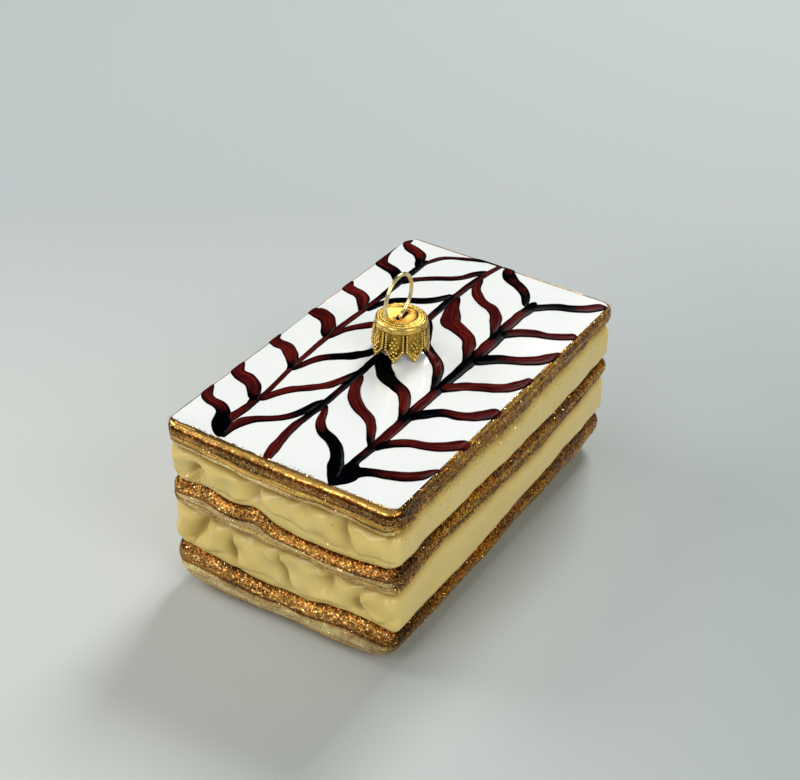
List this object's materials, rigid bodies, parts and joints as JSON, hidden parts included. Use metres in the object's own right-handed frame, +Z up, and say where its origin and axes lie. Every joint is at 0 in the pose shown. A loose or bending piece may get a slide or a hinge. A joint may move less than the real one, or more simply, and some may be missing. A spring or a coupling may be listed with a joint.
{
  "type": "blown-glass mille feuille slice ornament",
  "caption": "Hanging tree ornament in painted blown glass, shaped as a slice of layered cream pastry with feathered icing, under a stamped metal cap with a wire loop.",
  "frame": {"origin": "middle of the bounding box's bottom, on the surface the slice rests on", "axes": "+Z up out of the iced top, +Y along the slice away from the end seen first, +X towards the long side on the right of that end"},
  "size_m": [0.057, 0.0986, 0.061],
  "materials": {
    "painted_glass": "blown glass, silvered inside and painted outside: gloss white enamel top with dark brown feathered lines, satin cream fillings, and lacquered brown and gold bands with glitter",
    "cap_metal": "thin stamped metal with a bright gold lacquer and rows of raised beads",
    "wire": "polished pale gold sprung wire"
  },
  "bodies": {
    "root": {"glass_body": "painted_glass", "cap": "cap_metal", "hanger_loop": "wire"}
  },
  "joints": []
}
